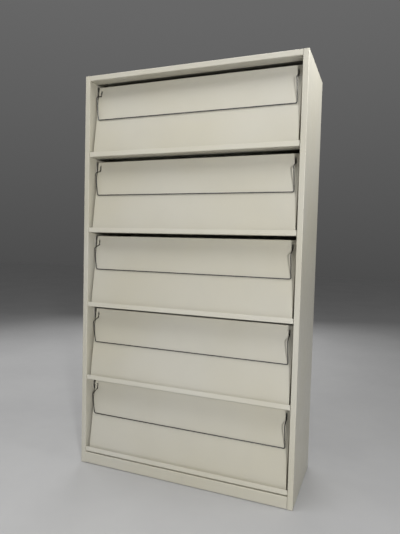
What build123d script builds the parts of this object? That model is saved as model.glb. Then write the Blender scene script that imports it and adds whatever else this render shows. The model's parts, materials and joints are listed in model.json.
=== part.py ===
from build123d import *
import math
import os

# A free-standing steel cabinet with five tiers of display flaps. Each flap is a hollow pressed-steel door
# that leans back, hangs on two pins near its top edge and carries a tray with a lip along its bottom edge,
# and a wire bar that keeps a magazine against its face. A shelf for back issues is behind each flap.
#
# Millimetres, +Z up. The origin is on the floor in the middle of the footprint, and the flaps face -Y.
# Depths are measured from the front plane of the cabinet: y = FRONT + depth.

# Casing
WIDTH = 1000.0
DEPTH = 400.0
HEIGHT = 1790.0
FRONT = -DEPTH / 2
BACK = DEPTH / 2
SHEET = 1.0              # steel of the casing
SIDE = 23.0              # thickness of a side
FOLD = 2.5               # outside radius of a fold
SEAM = 0.4               # gap where two sheets butt
FLOOR_GAP = 2.0          # the casing stands this far off the floor, on its feet
RETURN = 25.0            # how far a side's front edge folds back inside
INNER = WIDTH / 2 - SIDE
HEADER_HEIGHT = 23.0
HEADER_DEPTH = 56.0
PLINTH_TOP = 51.0
PLINTH_DEPTH = 28.0
BACK_INSET = 2.0         # the back panel sits this far inside the back plane
STILE = 10.0             # width of the angle strips that the back panel is screwed to
RAIL = BACK - 13.0       # rear face of the rear base rail
FOOT_INSET = 30.0
FOOT_RADIUS = 9.0
STEM_RADIUS = 4.0
STEM_LENGTH = 24.0

# Tiers, counted from the top
TIERS = 5
PITCH = 343.0
LOWEST_FLAP = 56.0       # underside of the lowest flap
SHELF_SHEET = 0.8
SHELF_DEEP = 52.0        # depth of a shelf's front edge
SHELF_HEIGHT = 19.0
SHELF_LIP = 16.0         # folded-in lip under a shelf's front edge
SHELF_GAP = 0.5

# Flap, in its own frame: across the cabinet, up along the face, and out of the face
FLAP_HEIGHT = 328.0
FLAP_HALF = 468.0
FLAP_SHEET = 0.8
FLAP_THICK = 28.0
TOP_DEEP = 63.0          # depth of the face at the top edge
BOTTOM_DEEP = 15.3       # depth of the face at the flap's underside
TILT = math.atan((TOP_DEEP - BOTTOM_DEEP) / FLAP_HEIGHT)
TRAY_HALF = 475.0
TRAY_DEEP = 3.0          # depth of the lip's front face
TRAY_BACK = 43.0
LIP_HEIGHT = 22.0
LIP_FOLD = 3.0           # outside radius of the fold between the tray's floor and its lip
HEM = 7.0                # the lip's top edge is folded down inside by this much

# Flap hinge
PIVOT_DOWN = 20.0
PIVOT_BEHIND = 16.0
PIN_RADIUS = 4.0
PIN_INNER = 458.0
PIN_OUTER = 476.4
COLLAR_RADIUS = 7.0
COLLAR_LENGTH = 2.0
RUNNING_CLEARANCE = 0.05
BRACKET_THICK = 3.0
BRACKET_HEIGHT = 48.0
BRACKET_DEPTH = 36.0
BUSH_RADIUS = 6.0
BUSH_FLANGE_RADIUS = 8.0
BUSH_FLANGE = 1.2
SCREW_SPACING = 34.0
BUMPER_X = 420.0
BUMPER_RADIUS = 5.0
BUMPER_GAP = 0.4

# Wire bar: each end runs straight out through a slot, down a leg and along the crossbar
WIRE_RADIUS = 2.25
SLOT_X = 453.0
SLOT_WIDTH = 7.0
SLOT_TOP = 17.5          # down the face
SLOT_BOTTOM = 45.5
SLOT_CORNER = 3.0
WIRE_AXIS_DOWN = 37.0
WIRE_AXIS_BEHIND = 8.4
HOOK_LENGTH = 16.0       # from the slot to the tip behind the face, towards the middle
BEND_DOWN = 61.6
BEND_OUT = 34.5
BAR_X = 1.5              # the ends of the crossbar are this far outside the slots
BAR_DOWN = 157.0
BAR_CLEARANCE = 0.4
EYE_THICK = 3.0
EYE_SIZE = 15.0

# Fasteners
SCREW_RADIUS = 2.0
SCREW_HEAD_RADIUS = 4.0
SCREW_HEAD = 1.6
SCREW_LENGTH = 9.0
HOLE_CLEARANCE = 0.15


def flap_bottom(tier):
    """Height of the underside of a tier's flap."""
    return LOWEST_FLAP + PITCH * (TIERS - tier)


def flap_plane(tier):
    """Frame of a flap's face: origin in the middle of the top edge, Y up the face, Z out of it."""
    origin = (0, FRONT + TOP_DEEP, flap_bottom(tier) + FLAP_HEIGHT)
    outwards = (0, -math.cos(TILT), math.sin(TILT))
    return Plane(origin=origin, x_dir=(1, 0, 0), z_dir=outwards)


def face_point(tier, down, behind):
    """World (y, z) of a point that is down the face and behind it."""
    point = flap_plane(tier).from_local_coords((0, -down, -behind))
    return point.Y, point.Z


def face_depth(height):
    """World y of the face at a height above the flap's underside."""
    return FRONT + BOTTOM_DEEP + height * math.tan(TILT)


def bracket_screw_points(tier):
    """World (y, z) of the two screws of a hinge bracket."""
    y, z = face_point(tier, PIVOT_DOWN, PIVOT_BEHIND)
    return [(y, z - SCREW_SPACING / 2), (y, z + SCREW_SPACING / 2)]


def shelf_screw_points(tier):
    """World (y, z) of the two screws at an end of a shelf."""
    z = flap_bottom(tier) + SHELF_HEIGHT / 2
    middle = (FRONT + SHELF_DEEP + BACK) / 2
    return [(middle - 110, z), (middle + 110, z)]


def foot_points():
    """World (x, y) of the feet, in the middle of the sides' thickness."""
    x = WIDTH / 2 - SIDE / 2
    y = DEPTH / 2 - FOOT_INSET
    return [(-x, -y), (-x, y), (x, -y), (x, y)]


def back_screw_points():
    """World (x, z) of the screws round the edge of the back panel."""
    x = INNER - STILE / 2
    rows = [60 + 334 * i for i in range(6)]
    return [(side * x, z) for side in (-1, 1) for z in rows]


def side_panel(side):
    """Outer skin of a side: a shallow pan whose front edge folds back inside."""
    middle = side * (WIDTH / 2 - SIDE / 2)
    height = HEIGHT - FLOOR_GAP
    low = (Align.CENTER, Align.CENTER, Align.MIN)
    with BuildPart() as skin:
        with BuildSketch(Plane.XY.offset(FLOOR_GAP)):
            with Locations((middle, 0)):
                RectangleRounded(SIDE, DEPTH, FOLD)
        extrude(amount=height)
        with BuildSketch(Plane.XY.offset(FLOOR_GAP + SHEET)):
            with Locations((middle, 0)):
                RectangleRounded(SIDE - 2 * SHEET, DEPTH - 2 * SHEET, FOLD - SHEET)
        extrude(amount=height - 2 * SHEET, mode=Mode.SUBTRACT)
        # the inner wall is left to the liner, behind the folded-back edge
        window = DEPTH - SHEET - RETURN
        with Locations((side * (INNER + SHEET / 2), BACK - SHEET - window / 2, FLOOR_GAP + SHEET)):
            Box(SHEET, window, height - 2 * SHEET, align=low, mode=Mode.SUBTRACT)
        with BuildSketch(Plane.XY.offset(FLOOR_GAP)):
            with Locations(*[p for p in foot_points() if p[0] * side > 0]):
                Circle(STEM_RADIUS + HOLE_CLEARANCE)
        extrude(amount=SHEET, mode=Mode.SUBTRACT)
    return skin.part


def side_liner(side):
    """Flat inner sheet of a side, flush with the folded-back front edge."""
    front = FRONT + RETURN + SEAM
    depth = BACK - SHEET - front
    height = HEIGHT - FLOOR_GAP - 2 * SHEET
    with BuildPart() as liner:
        with Locations((side * (INNER + SHEET / 2), front + depth / 2, FLOOR_GAP + SHEET)):
            Box(SHEET, depth, height, align=(Align.CENTER, Align.CENTER, Align.MIN))
        points = []
        for tier in range(1, TIERS + 1):
            points += bracket_screw_points(tier) + shelf_screw_points(tier)
        with BuildSketch(Plane.YZ.offset(side * INNER - SHEET)):
            with Locations(*points):
                Circle(SCREW_RADIUS + HOLE_CLEARANCE)
        extrude(amount=3 * SHEET, mode=Mode.SUBTRACT)
    return liner.part


def top_panel():
    """Roof sheet with a hollow header folded along its front edge."""
    with BuildPart() as roof:
        with BuildSketch(Plane.YZ.offset(SEAM - INNER)):
            with BuildLine():
                Polyline(
                    (BACK - BACK_INSET, HEIGHT - SHEET),
                    (BACK - BACK_INSET, HEIGHT),
                    (FRONT, HEIGHT),
                    (FRONT, HEIGHT - HEADER_HEIGHT),
                    (FRONT + HEADER_DEPTH, HEIGHT - HEADER_HEIGHT),
                    (FRONT + HEADER_DEPTH, HEIGHT - 2 * SHEET),
                    (FRONT + HEADER_DEPTH - SHEET, HEIGHT - 2 * SHEET),
                    (FRONT + HEADER_DEPTH - SHEET, HEIGHT - HEADER_HEIGHT + SHEET),
                    (FRONT + SHEET, HEIGHT - HEADER_HEIGHT + SHEET),
                    (FRONT + SHEET, HEIGHT - SHEET),
                    close=True,
                )
            make_face()
        extrude(amount=2 * (INNER - SEAM))
        fillet(roof.edges().filter_by(Axis.X).group_by(Axis.Y)[1], FOLD - SHEET)
        fillet(roof.edges().filter_by(Axis.X).group_by(Axis.Y)[0], FOLD)
    return roof.part


def back_panel():
    """Flat back sheet between the sides, from the base up to the roof."""
    bottom = FLOOR_GAP + SHEET
    height = HEIGHT - SHEET - SEAM - bottom
    with BuildPart() as back:
        with Locations((0, BACK - BACK_INSET, bottom)):
            Box(2 * (INNER - SEAM), SHEET, height, align=(Align.CENTER, Align.MAX, Align.MIN))
        with BuildSketch(Plane.XZ.offset(-BACK)):
            with Locations(*back_screw_points()):
                Circle(SCREW_RADIUS + HOLE_CLEARANCE)
        extrude(amount=BACK_INSET + 3 * SHEET, mode=Mode.SUBTRACT)
    return back.part


def back_stiles():
    """An angle strip up each side liner, which the back panel is screwed to."""
    outer = BACK - BACK_INSET - SHEET
    bottom = FLOOR_GAP + SHEET
    with BuildPart() as stiles:
        with BuildSketch(Plane.XY.offset(bottom)):
            with BuildLine():
                Polyline(
                    (INNER, outer - STILE),
                    (INNER, outer),
                    (INNER - STILE, outer),
                    (INNER - STILE, outer - SHEET),
                    (INNER - SHEET, outer - SHEET),
                    (INNER - SHEET, outer - STILE),
                    close=True,
                )
            make_face()
        extrude(amount=HEIGHT - SHEET - SEAM - bottom)
        mirror(about=Plane.YZ)
        with BuildSketch(Plane.XZ.offset(-BACK)):
            with Locations(*back_screw_points()):
                Circle(SCREW_RADIUS + HOLE_CLEARANCE)
        extrude(amount=BACK_INSET + 3 * SHEET, mode=Mode.SUBTRACT)
    return stiles.part


def base_rail(outer, inner):
    """Channel along the floor: outer is the depth of its web, and its two returns end at inner."""
    inside = outer + math.copysign(SHEET, inner - outer)
    with BuildPart() as rail:
        with BuildSketch(Plane.YZ.offset(SEAM - INNER)):
            with BuildLine():
                Polyline(
                    (inner, FLOOR_GAP),
                    (outer, FLOOR_GAP),
                    (outer, PLINTH_TOP),
                    (inner, PLINTH_TOP),
                    (inner, PLINTH_TOP - SHEET),
                    (inside, PLINTH_TOP - SHEET),
                    (inside, FLOOR_GAP + SHEET),
                    (inner, FLOOR_GAP + SHEET),
                    close=True,
                )
            make_face()
        extrude(amount=2 * (INNER - SEAM))
        fillet(rail.edges().filter_by(Axis.X).sort_by(lambda e: abs(e.center().Y - outer))[2:4], FOLD - SHEET)
        fillet(rail.edges().filter_by(Axis.X).sort_by(lambda e: abs(e.center().Y - outer))[:2], FOLD)
    return rail.part


def levelling_feet():
    """Four round pads with threaded stems that stand in the bottoms of the sides."""
    with BuildPart() as feet:
        with BuildSketch(Plane.XY):
            with Locations(*foot_points()):
                Circle(FOOT_RADIUS)
        extrude(amount=FLOOR_GAP)
        with BuildSketch(Plane.XY.offset(FLOOR_GAP)):
            with Locations(*foot_points()):
                Circle(STEM_RADIUS)
        extrude(amount=STEM_LENGTH)
    return feet.part


def shelf(tier):
    """Shelf for back issues: a pan open underneath, with a lip folded in under its front edge."""
    front = FRONT + SHELF_DEEP
    depth = BACK - BACK_INSET - SHEET - STILE - SHELF_GAP - front
    bottom = flap_bottom(tier)
    width = 2 * (INNER - SHELF_GAP)
    low = (Align.CENTER, Align.MIN, Align.MIN)
    with BuildPart() as pan:
        with Locations((0, front, bottom)):
            Box(width, depth, SHELF_HEIGHT, align=low)
        with Locations((0, front + SHELF_SHEET, bottom + SHELF_SHEET)):
            Box(
                width - 2 * SHELF_SHEET,
                depth - 2 * SHELF_SHEET,
                SHELF_HEIGHT - 2 * SHELF_SHEET,
                align=low,
                mode=Mode.SUBTRACT,
            )
        with Locations((0, front + SHELF_LIP, bottom)):
            Box(
                width - 2 * SHELF_SHEET,
                depth - SHELF_LIP - SHELF_SHEET,
                SHELF_SHEET,
                align=low,
                mode=Mode.SUBTRACT,
            )
        with BuildSketch(Plane.YZ.offset(-WIDTH / 2)):
            with Locations(*shelf_screw_points(tier)):
                Circle(SCREW_RADIUS + HOLE_CLEARANCE)
        extrude(amount=WIDTH, mode=Mode.SUBTRACT)
    return pan.part


def flap_panel(tier):
    """Face, top, bottom and end walls of a flap, open at the back, with a slot for each end of the wire."""
    plane = flap_plane(tier)
    half = FLAP_HALF - FLAP_SHEET
    bottom = flap_bottom(tier) + FLAP_SHEET
    thick = FLAP_THICK / math.cos(TILT)
    top_front = face_point(tier, 0, 0)
    top_back = face_point(tier, 0, FLAP_THICK)
    low_front = (face_depth(FLAP_SHEET), bottom)
    low_back = (face_depth(FLAP_SHEET) + thick, bottom)
    with BuildPart() as panel:
        with BuildSketch(Plane.YZ.offset(-FLAP_HALF)):
            with BuildLine():
                Polyline(top_front, top_back, low_back, low_front, close=True)
            make_face()
        extrude(amount=2 * FLAP_HALF)
        inner_top = face_point(tier, FLAP_SHEET, FLAP_SHEET)
        inner_top_back = face_point(tier, FLAP_SHEET, 2 * FLAP_THICK)
        inner_low = face_depth(2 * FLAP_SHEET) + FLAP_SHEET / math.cos(TILT)
        with BuildSketch(Plane.YZ.offset(-half)):
            with BuildLine():
                Polyline(
                    inner_top,
                    inner_top_back,
                    (inner_low + 2 * thick, bottom + FLAP_SHEET),
                    (inner_low, bottom + FLAP_SHEET),
                    close=True,
                )
            make_face()
        extrude(amount=2 * half, mode=Mode.SUBTRACT)
        outwards = Axis(plane.origin, plane.z_dir)
        fillet(panel.faces().filter_by(outwards).sort_by(outwards)[-2].edges(), FOLD - FLAP_SHEET)
        fillet(panel.faces().filter_by(outwards).sort_by(outwards)[-1].edges(), FOLD)
        slot_length = SLOT_BOTTOM - SLOT_TOP
        with BuildSketch(plane.offset(1)):
            with Locations((-SLOT_X, -SLOT_TOP - slot_length / 2), (SLOT_X, -SLOT_TOP - slot_length / 2)):
                RectangleRounded(SLOT_WIDTH, slot_length, SLOT_CORNER)
        extrude(amount=-3 * FLAP_SHEET, mode=Mode.SUBTRACT)
        with BuildSketch(Plane.YZ.offset(-FLAP_HALF)):
            with Locations(face_point(tier, PIVOT_DOWN, PIVOT_BEHIND)):
                Circle(PIN_RADIUS + HOLE_CLEARANCE)
        extrude(amount=2 * FLAP_HALF, mode=Mode.SUBTRACT)
    return panel.part


def flap_back(tier):
    """Flat sheet that closes the back of a flap."""
    bottom = flap_bottom(tier) + 2 * FLAP_SHEET + SEAM
    outer = face_depth(bottom - flap_bottom(tier)) + FLAP_THICK / math.cos(TILT)
    inner = outer - FLAP_SHEET / math.cos(TILT)
    half = FLAP_HALF - FLAP_SHEET - SEAM
    with BuildPart() as sheet:
        with BuildSketch(Plane.YZ.offset(-half)):
            with BuildLine():
                Polyline(
                    face_point(tier, FLAP_SHEET + SEAM, FLAP_THICK - FLAP_SHEET),
                    face_point(tier, FLAP_SHEET + SEAM, FLAP_THICK),
                    (outer, bottom),
                    (inner, bottom),
                    close=True,
                )
            make_face()
        extrude(amount=2 * half)
    return sheet.part


def flap_tray(tier):
    """Ledge under a flap: a floor, a lip along the front and a hem folded down inside the lip."""
    bottom = flap_bottom(tier)
    front = FRONT + TRAY_DEEP
    back = FRONT + TRAY_BACK
    top = bottom + LIP_HEIGHT
    with BuildPart() as tray:
        with BuildSketch(Plane.YZ.offset(-TRAY_HALF)):
            with BuildLine():
                Polyline(
                    (back, bottom),
                    (front, bottom),
                    (front, top),
                    (front + 2 * FLAP_SHEET, top),
                    (front + 2 * FLAP_SHEET, top - HEM),
                    (front + FLAP_SHEET, top - HEM),
                    (front + FLAP_SHEET, bottom + FLAP_SHEET),
                    (back, bottom + FLAP_SHEET),
                    close=True,
                )
            make_face()
        extrude(amount=2 * TRAY_HALF)
        fillet(tray.edges().filter_by(Axis.X).group_by(Axis.Y)[1].sort_by(Axis.Z)[0], LIP_FOLD - FLAP_SHEET)
        fillet(tray.edges().filter_by(Axis.X).group_by(Axis.Y)[0].sort_by(Axis.Z)[0], LIP_FOLD)
        fillet(tray.faces().sort_by(Axis.Z)[-1].edges().filter_by(Axis.X), 0.9 * FLAP_SHEET)
        lip_corners = tray.faces().sort_by(Axis.Y)[0].edges().filter_by(Axis.Z)
        fillet(lip_corners, 0.8 * FLAP_SHEET)
    return tray.part


def hinge_pins(tier):
    """Two pins, one in each end wall of a flap, with a collar inside the wall."""
    pivot = face_point(tier, PIVOT_DOWN, PIVOT_BEHIND)
    collar = FLAP_HALF - FLAP_SHEET - COLLAR_LENGTH
    with BuildPart() as pins:
        with BuildSketch(Plane.YZ.offset(PIN_INNER)):
            with Locations(pivot):
                Circle(PIN_RADIUS)
        extrude(amount=PIN_OUTER - PIN_INNER)
        chamfer(pins.edges().group_by(Axis.X)[-1], 0.6)
        with BuildSketch(Plane.YZ.offset(collar)):
            with Locations(pivot):
                Circle(COLLAR_RADIUS)
        extrude(amount=COLLAR_LENGTH)
        mirror(about=Plane.YZ)
    return pins.part


def hinge_brackets(tier):
    """Two plates, one on each side liner, that hold the bushes of a flap's pins."""
    pivot = face_point(tier, PIVOT_DOWN, PIVOT_BEHIND)
    with BuildPart() as plates:
        with BuildSketch(Plane.YZ.offset(INNER - BRACKET_THICK)):
            with Locations(pivot):
                RectangleRounded(BRACKET_DEPTH, BRACKET_HEIGHT, 4)
                Circle(BUSH_RADIUS, mode=Mode.SUBTRACT)
            with Locations(*bracket_screw_points(tier)):
                Circle(SCREW_RADIUS + HOLE_CLEARANCE, mode=Mode.SUBTRACT)
        extrude(amount=BRACKET_THICK)
        mirror(about=Plane.YZ)
    return plates.part


def hinge_bushes():
    """A flanged plastic bush in each hinge bracket."""
    pivots = [face_point(tier, PIVOT_DOWN, PIVOT_BEHIND) for tier in range(1, TIERS + 1)]
    bore = PIN_RADIUS + RUNNING_CLEARANCE
    with BuildPart() as bushes:
        with BuildSketch(Plane.YZ.offset(INNER - BRACKET_THICK)):
            with Locations(*pivots):
                Circle(BUSH_RADIUS)
                Circle(bore, mode=Mode.SUBTRACT)
        extrude(amount=BRACKET_THICK)
        with BuildSketch(Plane.YZ.offset(INNER - BRACKET_THICK - BUSH_FLANGE)):
            with Locations(*pivots):
                Circle(BUSH_FLANGE_RADIUS)
                Circle(bore, mode=Mode.SUBTRACT)
        extrude(amount=BUSH_FLANGE)
        mirror(about=Plane.YZ)
    return bushes.part


def flap_bumpers():
    """Rubber buttons on the front edges of the shelves, which a closed flap rests against."""
    shelf_front = FRONT + SHELF_DEEP
    middle = SHELF_HEIGHT / 2
    flap_rear = face_depth(middle + BUMPER_RADIUS) + FLAP_THICK / math.cos(TILT)
    points = [
        (side * BUMPER_X, flap_bottom(tier) + middle)
        for tier in range(1, TIERS + 1)
        for side in (-1, 1)
    ]
    with BuildPart() as bumpers:
        with BuildSketch(Plane.XZ.offset(-shelf_front)):
            with Locations(*points):
                Circle(BUMPER_RADIUS)
        extrude(amount=shelf_front - flap_rear - BUMPER_GAP)
        fillet(bumpers.edges().group_by(Axis.Y)[0], 1.0)
    return bumpers.part


def wire_end(plane, side):
    """Corner points of one end of the wire, from the tip of its hook to the end of the crossbar."""
    corners = [
        (side * (SLOT_X - HOOK_LENGTH), -WIRE_AXIS_DOWN, -WIRE_AXIS_BEHIND),
        (side * SLOT_X, -WIRE_AXIS_DOWN, -WIRE_AXIS_BEHIND),
        (side * SLOT_X, -BEND_DOWN, BEND_OUT),
        (side * (SLOT_X + BAR_X), -BAR_DOWN, WIRE_RADIUS + BAR_CLEARANCE),
    ]
    return [plane.from_local_coords(corner) for corner in corners]


def wire_bar(tier):
    """Bent rod: a hook through each slot, a leg down each end and a crossbar that rests on the face."""
    plane = flap_plane(tier)
    left = wire_end(plane, -1)
    right = wire_end(plane, 1)
    with BuildPart() as rod:
        with BuildLine() as path:
            FilletPolyline(*left, *reversed(right), radius=[5.0, 6.0, 7.0, 7.0, 6.0, 5.0])
        with BuildSketch(Plane(origin=path.wire() @ 0, z_dir=path.wire() % 0)):
            Circle(WIRE_RADIUS)
        sweep()
    return rod.part


def wire_eyes(tier):
    """Two eye plates behind a flap's face, which the hooks of the wire turn in."""
    plane = flap_plane(tier)
    middle = SLOT_X - HOOK_LENGTH + EYE_THICK
    with BuildPart() as eyes:
        for side in (-1, 1):
            with Locations(plane * Location((side * middle, -WIRE_AXIS_DOWN, -FLAP_SHEET))):
                Box(EYE_THICK, EYE_SIZE, EYE_SIZE, align=(Align.CENTER, Align.CENTER, Align.MAX))
        with BuildSketch(Plane.YZ.offset(-WIDTH / 2)):
            with Locations(face_point(tier, WIRE_AXIS_DOWN, WIRE_AXIS_BEHIND)):
                Circle(WIRE_RADIUS + RUNNING_CLEARANCE)
        extrude(amount=WIDTH, mode=Mode.SUBTRACT)
    return eyes.part


def cross_screws(points, head_x):
    """Screws along X at (y, z) points, whose heads lie against the sheets at x = -head_x and head_x."""
    with BuildPart() as screws:
        with BuildSketch(Plane.YZ.offset(head_x)):
            with Locations(*points):
                Circle(SCREW_RADIUS)
        extrude(amount=SCREW_LENGTH)
        with BuildSketch(Plane.YZ.offset(head_x - SCREW_HEAD)):
            with Locations(*points):
                Circle(SCREW_HEAD_RADIUS)
        extrude(amount=SCREW_HEAD)
        mirror(about=Plane.YZ)
    return screws.part


def back_screws():
    """Screws round the back panel, with their heads outside."""
    outside = BACK - BACK_INSET
    with BuildPart() as screws:
        with BuildSketch(Plane.XZ.offset(-outside - SCREW_HEAD)):
            with Locations(*back_screw_points()):
                Circle(SCREW_HEAD_RADIUS)
        extrude(amount=SCREW_HEAD)
        with BuildSketch(Plane.XZ.offset(-outside)):
            with Locations(*back_screw_points()):
                Circle(SCREW_RADIUS)
        extrude(amount=SCREW_LENGTH)
    return screws.part


def every_tier(points_of):
    """The points of one kind of screw, over all the tiers."""
    return [point for tier in range(1, TIERS + 1) for point in points_of(tier)]


pieces = {
    "side_panel_left": side_panel(-1),
    "side_panel_right": side_panel(1),
    "side_liner_left": side_liner(-1),
    "side_liner_right": side_liner(1),
    "top_panel": top_panel(),
    "back_panel": back_panel(),
    "back_stiles": back_stiles(),
    "plinth": base_rail(FRONT, FRONT + PLINTH_DEPTH),
    "rear_base_rail": base_rail(RAIL, RAIL - PLINTH_DEPTH),
    "levelling_feet": levelling_feet(),
    "hinge_bushes": hinge_bushes(),
    "flap_bumpers": flap_bumpers(),
    "bracket_screws": cross_screws(every_tier(bracket_screw_points), INNER - BRACKET_THICK),
    "shelf_screws": cross_screws(every_tier(shelf_screw_points), INNER - SHELF_GAP - SHELF_SHEET),
    "back_panel_screws": back_screws(),
}
for tier in range(1, TIERS + 1):
    pieces[f"shelf_{tier}"] = shelf(tier)
    pieces[f"hinge_brackets_{tier}"] = hinge_brackets(tier)
    pieces[f"flap_panel_{tier}"] = flap_panel(tier)
    pieces[f"flap_back_{tier}"] = flap_back(tier)
    pieces[f"flap_tray_{tier}"] = flap_tray(tier)
    pieces[f"hinge_pins_{tier}"] = hinge_pins(tier)
    pieces[f"wire_eyes_{tier}"] = wire_eyes(tier)
    pieces[f"wire_bar_{tier}"] = wire_bar(tier)

os.makedirs("parts", exist_ok=True)
for name, part in pieces.items():
    part.label = name
    export_step(part, f"parts/{name}.step")
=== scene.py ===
import json
import math

import bpy
from mathutils import Matrix, Vector

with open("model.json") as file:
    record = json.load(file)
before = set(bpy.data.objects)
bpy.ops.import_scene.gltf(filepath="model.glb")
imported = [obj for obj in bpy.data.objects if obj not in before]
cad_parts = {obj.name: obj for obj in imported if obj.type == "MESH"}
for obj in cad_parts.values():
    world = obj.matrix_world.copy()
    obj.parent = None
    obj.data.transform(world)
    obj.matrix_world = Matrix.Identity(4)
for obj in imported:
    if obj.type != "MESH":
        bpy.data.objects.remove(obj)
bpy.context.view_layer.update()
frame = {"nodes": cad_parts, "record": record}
scene = bpy.context.scene
nodes = frame["nodes"]
record = frame["record"]

# base colours, linear
PAINT = (0.565, 0.545, 0.472)
# the shelves' enamel, made a little darker than the case's as painted shade for the dim inside of the
# cabinet
SHELF_PAINT_AND_SHADE = (0.545, 0.525, 0.455)
# painted light: the trays' enamel is about a tenth lighter than the flaps', standing in for the brighter
# light on the lips
TRAY_PAINTED_LIGHT = (0.625, 0.605, 0.530)
SPECK = (0.33, 0.31, 0.26)
SCUFF = (0.20, 0.19, 0.165)
FLOOR_LIGHT = (0.50, 0.50, 0.50)
FLOOR_DARK = (0.47, 0.47, 0.472)

CASE_GRIME = 0.10
INSIDE_GRIME = 0.05

# half the side of the floor sheet, metres
FLOOR_HALF = 14.0

# the sky's grey from below the horizon to above it, and its strength
SKY_LOW = (0.36, 0.36, 0.36, 1)
SKY_HIGH = (0.80, 0.80, 0.80, 1)
SKY_STRENGTH = 0.17

# the camera: metres, degrees, and a focal length in pixels of a picture 534 high
CAMERA_PLACE = (0.7864, -1.9873, 1.0482)
CAMERA_YAW_PITCH_ROLL = (-21.538, -2.969, -1.463)
FOCAL_PIXELS = 460.78
PICTURE_HEIGHT = 534.0
SENSOR_HEIGHT = 36.0

# name, place, target, (width, height), watts
LIGHTS = [
    ("window", (2.0, -3.15, 1.50), (0.0, 0.0, 0.90), (0.24, 0.4), 66.0),
    ("ceiling", (-0.4, -1.3, 3.6), (0.0, -0.4, 0.9), (2.6, 1.4), 50.0),
    ("low", (-0.4, -3.0, 0.35), (0.0, 0.0, 0.9), (3.0, 0.6), 7.0),
    ("right", (1.12, -0.12, 2.22), (0.5, 0.0, 1.70), (0.5, 0.5), 12.0),
    ("left", (-3.2, 0.7, 2.0), (-0.5, 0.0, 0.9), (1.8, 1.8), 22.0),
    ("rear", (-1.2, 3.4, 2.2), (0.0, 0.2, 1.0), (2.6, 2.0), 45.0),
]


# ---- materials -------------------------------------------------------------------------------------


class Nodes:
    """Short calls for building one material's node tree."""

    def __init__(self, name):
        self.material = bpy.data.materials.new(name)
        self.material.use_nodes = True
        self.tree = self.material.node_tree
        self.tree.nodes.clear()
        self.output = self.tree.nodes.new("ShaderNodeOutputMaterial")
        self.shader = self.tree.nodes.new("ShaderNodeBsdfPrincipled")
        self.link(self.shader.outputs["BSDF"], self.output.inputs["Surface"])
        self.place = self.tree.nodes.new("ShaderNodeTexCoord").outputs["Object"]

    def link(self, a, b):
        self.tree.links.new(a, b)

    def noise(self, scale, detail=3.0, roughness=0.5, stretch=None):
        """Noise in metres of the row frame, from 0 to 1."""
        n = self.tree.nodes.new("ShaderNodeTexNoise")
        n.inputs["Scale"].default_value = scale
        n.inputs["Detail"].default_value = detail
        n.inputs["Roughness"].default_value = roughness
        vector = self.place
        if stretch:
            m = self.tree.nodes.new("ShaderNodeMapping")
            m.inputs["Scale"].default_value = stretch
            self.link(vector, m.inputs["Vector"])
            vector = m.outputs["Vector"]
        self.link(vector, n.inputs["Vector"])
        return n.outputs["Fac"]

    def ramp(self, value, low, high, out_low=0.0, out_high=1.0):
        """Maps value from low..high to out_low..out_high, clamped."""
        m = self.tree.nodes.new("ShaderNodeMapRange")
        m.inputs["From Min"].default_value = low
        m.inputs["From Max"].default_value = high
        m.inputs["To Min"].default_value = out_low
        m.inputs["To Max"].default_value = out_high
        self.link(value, m.inputs["Value"])
        return m.outputs["Result"]

    def multiply(self, a, b):
        """The product of a socket and a socket or number."""
        m = self.tree.nodes.new("ShaderNodeMath")
        m.operation = "MULTIPLY"
        for socket, v in zip(m.inputs, (a, b)):
            if isinstance(v, float):
                socket.default_value = v
            else:
                self.link(v, socket)
        return m.outputs["Value"]

    def axis(self, name):
        """One coordinate of the row frame."""
        s = self.tree.nodes.new("ShaderNodeSeparateXYZ")
        self.link(self.place, s.inputs["Vector"])
        return s.outputs[name]

    def mix(self, factor, a, b):
        """Colour a where factor is 0 and colour b where it is 1."""
        m = self.tree.nodes.new("ShaderNodeMix")
        m.data_type = "RGBA"
        self.link(factor, m.inputs["Factor"])
        colours = [s for s in m.inputs if s.type == "RGBA"]
        for socket, c in zip(colours, (a, b)):
            if isinstance(c, tuple):
                socket.default_value = (*c, 1.0)
            else:
                self.link(c, socket)
        return next(s for s in m.outputs if s.type == "RGBA")

    def bump(self, height, strength, distance, under=None):
        """A normal bumped by height, on top of the normal under."""
        b = self.tree.nodes.new("ShaderNodeBump")
        b.inputs["Strength"].default_value = strength
        b.inputs["Distance"].default_value = distance
        self.link(height, b.inputs["Height"])
        if under is not None:
            self.link(under, b.inputs["Normal"])
        return b.outputs["Normal"]


def enamel(name, colour, grime):
    """Baked enamel on sheet steel: a slight orange peel, faint cloudy tone, fine specks and old scuffs."""
    n = Nodes(name)
    darker = tuple(0.93 * c for c in colour)
    warmer = (colour[0] * 0.97, colour[1] * 0.955, colour[2] * 0.90)
    tone = n.mix(n.ramp(n.noise(2.3, 2.0), 0.35, 0.65), colour, warmer)
    cloud = n.ramp(n.noise(9.0, 4.0, 0.6), 0.48, 0.75, 0.0, 0.35)
    tone = n.mix(cloud, tone, darker)
    specks = n.ramp(n.noise(420.0, 1.0), 0.66, 0.74, 0.0, 0.10)
    tone = n.mix(specks, tone, SPECK)
    scuffs = n.multiply(n.ramp(n.noise(38.0, 5.0, 0.7, (1.0, 1.0, 0.25)), 0.62, 0.72), grime)
    low_down = n.ramp(n.axis("Z"), 0.03, 0.22, 1.0, 0.12)
    tone = n.mix(n.multiply(scuffs, low_down), tone, SCUFF)
    n.link(tone, n.shader.inputs["Base Color"])
    rough = n.ramp(n.noise(26.0, 4.0, 0.6), 0.3, 0.7, 0.31, 0.41)
    n.link(rough, n.shader.inputs["Roughness"])
    n.shader.inputs["Specular IOR Level"].default_value = 0.5
    waves = n.bump(n.noise(7.0, 1.0), 0.25, 0.0006)
    n.link(n.bump(n.noise(330.0, 2.0, 0.5), 0.16, 0.00025, waves), n.shader.inputs["Normal"])
    return n.material


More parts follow.
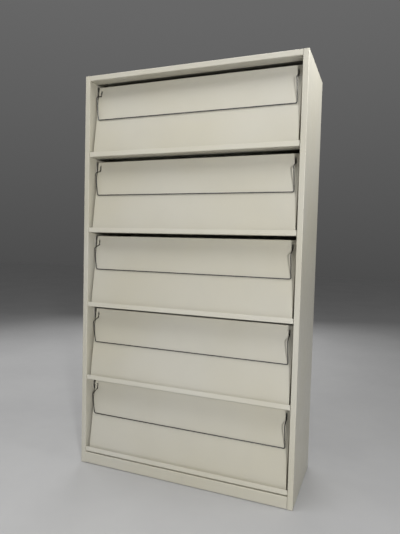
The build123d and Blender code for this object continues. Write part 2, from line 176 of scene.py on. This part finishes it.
def steel(name, colour, rough):
    """Bright rod or plated steel with fine drawing marks and dull patches."""
    n = Nodes(name)
    dull = tuple(0.55 * c for c in colour)
    patches = n.ramp(n.noise(60.0, 4.0, 0.65), 0.45, 0.75, 0.0, 0.6)
    n.link(n.mix(patches, colour, dull), n.shader.inputs["Base Color"])
    marks = n.noise(900.0, 2.0, 0.5, (0.05, 1.0, 1.0))
    n.link(n.ramp(marks, 0.3, 0.7, rough - 0.08, rough + 0.08), n.shader.inputs["Roughness"])
    n.shader.inputs["Metallic"].default_value = 1.0
    n.link(n.bump(marks, 0.10, 0.0001), n.shader.inputs["Normal"])
    return n.material


def plastic(name, colour, rough):
    """Moulded plastic or rubber with a fine grain."""
    n = Nodes(name)
    lighter = tuple(min(1.0, 1.25 * c + 0.01) for c in colour)
    n.link(n.mix(n.ramp(n.noise(80.0, 3.0), 0.4, 0.7), colour, lighter), n.shader.inputs["Base Color"])
    n.link(n.ramp(n.noise(200.0, 2.0), 0.3, 0.7, rough - 0.06, rough + 0.06), n.shader.inputs["Roughness"])
    n.link(n.bump(n.noise(1500.0, 1.0), 0.2, 0.0001), n.shader.inputs["Normal"])
    return n.material


def paint_nodes():
    """Gives every CAD node the finish of its material slot, and the trays a lighter enamel, which is
    painted light.
    """
    finishes = {
        "case_paint": enamel("case_paint", PAINT, CASE_GRIME),
        "flap_paint": enamel("flap_paint", PAINT, INSIDE_GRIME),
        "shelf_paint": enamel("shelf_paint", SHELF_PAINT_AND_SHADE, INSIDE_GRIME),
        "wire": steel("wire", (0.13, 0.13, 0.127), 0.28),
        "zinc": steel("zinc", (0.58, 0.58, 0.56), 0.38),
        "bush_plastic": plastic("bush_plastic", (0.66, 0.65, 0.58), 0.50),
        "rubber": plastic("rubber", (0.030, 0.030, 0.030), 0.62),
    }
    # painted light: the lips look lighter than the faces because of the light on them, so the trays'
    # enamel is about a tenth lighter; the real paint is probably the same
    tray_painted_light = enamel("tray_painted_light", TRAY_PAINTED_LIGHT, INSIDE_GRIME)
    for entry in record["subparts"]:
        node = nodes[entry["node"]]
        is_tray = entry["node"].startswith("flap_tray")
        node.data.materials.clear()
        node.data.materials.append(tray_painted_light if is_tray else finishes[entry["material_slot"]])


# ---- floor, light and camera -----------------------------------------------------------------------


def make_floor():
    n = Nodes("floor_pale")
    tone = n.mix(n.ramp(n.noise(1.7, 3.0), 0.35, 0.65), FLOOR_LIGHT, FLOOR_DARK)
    n.link(tone, n.shader.inputs["Base Color"])
    n.link(n.ramp(n.noise(14.0, 3.0), 0.3, 0.7, 0.60, 0.72), n.shader.inputs["Roughness"])
    mesh = bpy.data.meshes.new("floor")
    signs = [(-1, -1), (1, -1), (1, 1), (-1, 1)]
    corners = [(x * FLOOR_HALF, y * FLOOR_HALF, 0) for x, y in signs]
    mesh.from_pydata(corners, [], [(0, 1, 2, 3)])
    mesh.materials.append(n.material)
    floor = bpy.data.objects.new("floor", mesh)
    scene.collection.objects.link(floor)


def area_light(name, place, target, size, watts):
    light = bpy.data.lights.new(name, "AREA")
    light.shape = "RECTANGLE"
    light.size, light.size_y = size
    light.energy = watts
    holder = bpy.data.objects.new(name, light)
    holder.location = place
    holder.rotation_euler = (Vector(target) - Vector(place)).to_track_quat("-Z", "Y").to_euler()
    scene.collection.objects.link(holder)


def make_world():
    """Soft room light: brighter from above than from the sides, and dim from below."""
    world = bpy.data.worlds.new("room")
    world.use_nodes = True
    tree = world.node_tree
    tree.nodes.clear()
    place = tree.nodes.new("ShaderNodeTexCoord")
    split = tree.nodes.new("ShaderNodeSeparateXYZ")
    ramp = tree.nodes.new("ShaderNodeValToRGB")
    background = tree.nodes.new("ShaderNodeBackground")
    output = tree.nodes.new("ShaderNodeOutputWorld")
    shift = tree.nodes.new("ShaderNodeMapRange")
    shift.inputs["From Min"].default_value = -1.0
    low, high = ramp.color_ramp.elements
    low.position, low.color = 0.42, SKY_LOW
    high.position, high.color = 0.72, SKY_HIGH
    background.inputs["Strength"].default_value = SKY_STRENGTH
    tree.links.new(place.outputs["Generated"], split.inputs["Vector"])
    tree.links.new(split.outputs["Z"], shift.inputs["Value"])
    tree.links.new(shift.outputs["Result"], ramp.inputs["Fac"])
    tree.links.new(ramp.outputs["Color"], background.inputs["Color"])
    tree.links.new(background.outputs["Background"], output.inputs["Surface"])
    scene.world = world


def make_camera():
    """The viewing angle: a little right of the middle, turned left and tipped slightly down."""
    yaw, pitch, roll = (math.radians(a) for a in CAMERA_YAW_PITCH_ROLL)
    forward = Vector((math.sin(yaw) * math.cos(pitch), math.cos(yaw) * math.cos(pitch), math.sin(pitch)))
    level = Vector((math.cos(yaw), -math.sin(yaw), 0.0))
    below = forward.cross(level)
    right = math.cos(roll) * level + math.sin(roll) * below
    down = -math.sin(roll) * level + math.cos(roll) * below
    data = bpy.data.cameras.new("camera")
    data.sensor_fit = "VERTICAL"
    data.sensor_height = SENSOR_HEIGHT
    data.lens = SENSOR_HEIGHT * FOCAL_PIXELS / PICTURE_HEIGHT
    data.clip_end = 60.0
    camera = bpy.data.objects.new("camera", data)
    axes = Matrix((right, -down, -forward)).transposed()
    camera.matrix_world = Matrix.Translation(Vector(CAMERA_PLACE)) @ axes.to_4x4()
    scene.collection.objects.link(camera)
    scene.camera = camera


paint_nodes()
make_floor()
make_world()
for light in LIGHTS:
    area_light(*light)
make_camera()
scene.view_settings.view_transform = "Standard"
